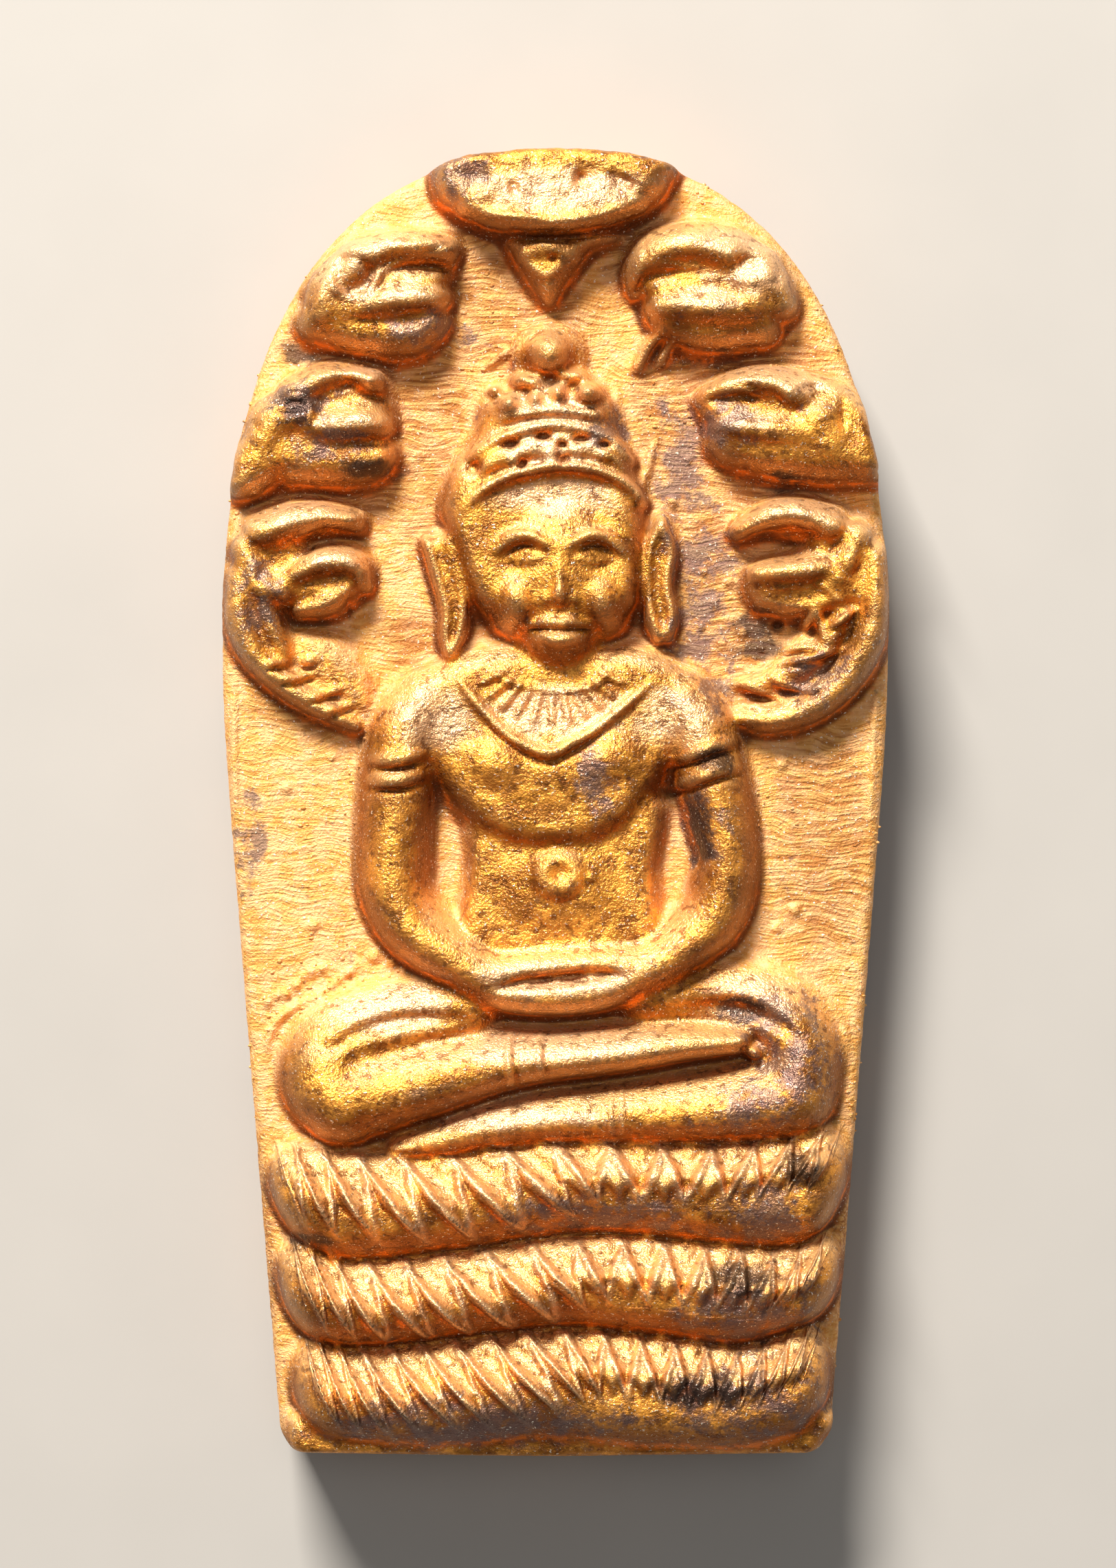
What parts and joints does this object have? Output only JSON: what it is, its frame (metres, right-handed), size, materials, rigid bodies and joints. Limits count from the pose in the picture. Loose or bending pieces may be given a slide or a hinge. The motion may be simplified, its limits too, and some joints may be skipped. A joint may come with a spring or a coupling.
{
  "type": "naga buddha amulet",
  "caption": "Small cast copper amulet plate: a crowned figure seated in meditation on serpent coils, sheltered by a hood of serpent heads, in relief on a round-topped plate with a flat back.",
  "frame": {"origin": "middle of the flat back, which the plate lies on", "axes": "+Z out of the carved face, +Y towards the figure's crown, +X to the right as the carving is looked at"},
  "size_m": [0.0112, 0.022, 0.0032],
  "materials": {
    "copper": "cast copper alloy, rubbed bright on the high parts and the ground, brown and olive patina in the hollows"
  },
  "bodies": {
    "root": {"naga_buddha_amulet": "copper"}
  },
  "joints": []
}
